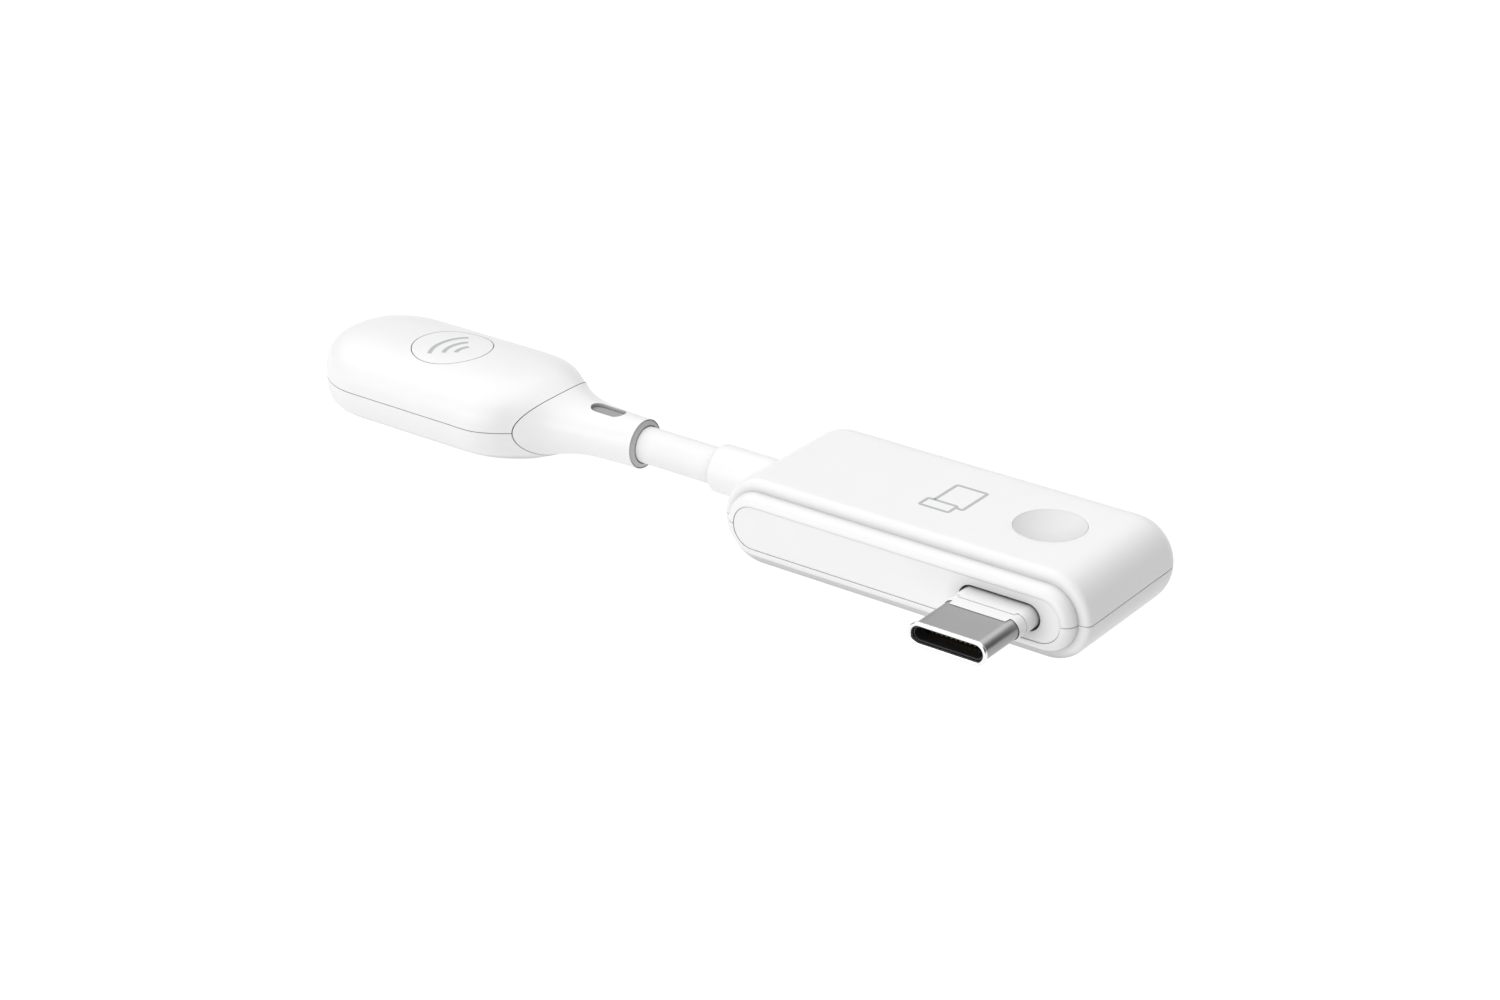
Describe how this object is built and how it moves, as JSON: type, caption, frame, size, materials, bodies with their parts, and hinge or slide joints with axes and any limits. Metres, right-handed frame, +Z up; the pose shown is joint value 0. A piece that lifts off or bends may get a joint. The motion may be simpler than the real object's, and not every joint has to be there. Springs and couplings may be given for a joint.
{
  "type": "wireless display transmitter",
  "caption": "White wireless display transmitter: flat rounded box with a side USB-C plug and top button, joined by a short bendable cable to a rounded antenna pod.",
  "frame": {"origin": "centre of the main box's flat underside, on the surface that the object lies on", "axes": "+X from the antenna pod towards the box's far end, along the cable; the USB-C plug points along -Y; +Z up, through the button's face"},
  "size_m": [0.0962, 0.0271, 0.0087],
  "materials": {
    "white_plastic": "fine satin moulded white",
    "cable_jacket": "smooth soft white elastomer",
    "plug_metal": "satin nickel-plated steel",
    "contact_gold": "gold plate",
    "black_plastic": "matt black",
    "circuit_board": "green solder mask",
    "chip_black": "matt black epoxy",
    "tin_plate": "dull tin plate",
    "ceramic": "matt tan ceramic",
    "grey_elastomer": "smooth mid-grey elastomer",
    "thermal_pad": "soft matt pad",
    "copper": "bare copper"
  },
  "bodies": {
    "main_box": {"box_top_shell": "white_plastic", "box_bottom_shell": "white_plastic", "front_panel": "white_plastic", "plug_collar": "white_plastic", "plug_shell": "plug_metal", "plug_insert": "black_plastic", "plug_contacts_top": "contact_gold", "plug_contacts_bottom": "contact_gold", "plug_latch_left": "tin_plate", "plug_latch_right": "tin_plate", "main_board": "circuit_board", "shield_can": "tin_plate", "video_processor": "chip_black", "memory_chip": "chip_black", "thermal_pad": "thermal_pad", "power_regulator": "chip_black", "plug_controller": "chip_black", "crystal": "tin_plate", "inductor_1": "ceramic", "inductor_2": "ceramic", "capacitor_1": "ceramic", "capacitor_2": "ceramic", "capacitor_3": "ceramic", "capacitor_4": "ceramic", "resistor_1": "chip_black", "resistor_2": "chip_black", "resistor_3": "chip_black", "switch_housing": "tin_plate", "cable_boot": "white_plastic"},
    "button": {"button_cap": "white_plastic", "switch_plunger": "chip_black"},
    "cable": {"cable_jacket": "cable_jacket", "cable_braid": "tin_plate", "cable_conductors": "copper"},
    "antenna_pod": {"pod_top_shell": "white_plastic", "pod_bottom_shell": "white_plastic", "pod_neck": "white_plastic", "signal_disc": "white_plastic", "cable_grommet": "black_plastic", "cable_liner": "grey_elastomer", "radio_board": "circuit_board", "radio_shield_can": "tin_plate", "radio_chip": "chip_black", "radio_crystal": "tin_plate", "radio_capacitor_1": "ceramic", "radio_capacitor_2": "ceramic", "radio_capacitor_3": "ceramic", "antenna_front": "copper", "antenna_back": "copper"}
  },
  "joints": [
    {"name": "button_press", "type": "slide", "parent": "main_box", "child": "button", "axis": [0, 0, -1], "range_m": [0, 0.00025], "stiffness_N_per_m": 2000, "springref_m": -0.0004},
    {"name": "cable_pitch", "type": "hinge", "parent": "main_box", "child": "cable", "pos_m": [-0.0289, 0, 0.00435], "axis": [0, 1, 0], "range_deg": [-35, 35], "stiffness_Nm_per_rad": 0.1, "deforming": ["cable_jacket", "cable_braid", "cable_conductors"]},
    {"name": "cable_yaw", "type": "hinge", "parent": "cable", "child": "antenna_pod", "pos_m": [-0.0336, 0, 0.00435], "axis": [0, 0, 1], "range_deg": [-35, 35], "stiffness_Nm_per_rad": 0.1, "deforming": ["cable_jacket", "cable_braid", "cable_conductors"]}
  ]
}
